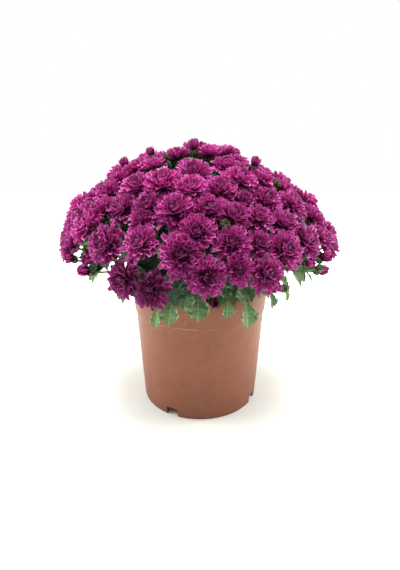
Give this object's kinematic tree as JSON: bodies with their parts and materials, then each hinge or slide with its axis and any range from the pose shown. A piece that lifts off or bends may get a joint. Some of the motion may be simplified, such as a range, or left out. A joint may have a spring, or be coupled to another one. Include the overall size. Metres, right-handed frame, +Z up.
{
  "type": "pot chrysanthemum",
  "caption": "Bushy dome of small magenta double blooms with buds and lobed green leaves, rooted in soil in a plain clay-coloured flower pot.",
  "frame": {"origin": "on the surface that the pot stands on, at the middle of the whole plant's footprint", "axes": "+Z up along the pot; -Y towards the side that the picture shows"},
  "size_m": [0.2512, 0.2528, 0.2423],
  "materials": {
    "pot": "satin clay-coloured plastic with fine pale specks",
    "soil": null,
    "foliage": "matt grey-green leaves and pale green stems",
    "petals": "soft magenta petals, paler at their edges",
    "bud_petals": "folded dark magenta petals"
  },
  "bodies": {
    "root": {"blooms_01": "petals", "blooms_02": "petals", "blooms_03": "petals", "blooms_04": "petals", "blooms_05": "petals", "blooms_06": "petals", "blooms_07": "petals", "blooms_08": "petals", "blooms_09": "petals", "blooms_10": "petals", "blooms_11": "petals", "blooms_12": "petals", "blooms_13": "petals", "blooms_14": "petals", "blooms_15": "petals", "blooms_16": "petals", "blooms_17": "petals", "blooms_18": "petals", "blooms_19": "petals", "blooms_20": "petals", "blooms_21": "petals", "blooms_22": "petals", "blooms_23": "petals", "blooms_24": "petals", "blooms_25": "petals", "blooms_26": "petals", "blooms_27": "petals", "blooms_28": "petals", "blooms_29": "petals", "blooms_30": "petals", "blooms_31": "petals", "blooms_32": "petals", "blooms_33": "petals", "blooms_34": "petals", "blooms_35": "petals", "blooms_36": "petals", "blooms_37": "petals", "blooms_38": "petals", "bud_01": "bud_petals", "bud_02": "bud_petals", "bud_03": "bud_petals", "bud_04": "bud_petals", "bud_05": "bud_petals", "bud_06": "bud_petals", "bud_07": "bud_petals", "bud_08": "bud_petals", "bud_09": "bud_petals", "bud_10": "bud_petals", "bud_11": "bud_petals", "bud_12": "bud_petals", "plant_1": "foliage", "plant_2": "foliage", "plant_3": "foliage", "plant_4": "foliage", "plant_5": "foliage", "pot": "pot", "soil": "soil"}
  },
  "joints": []
}
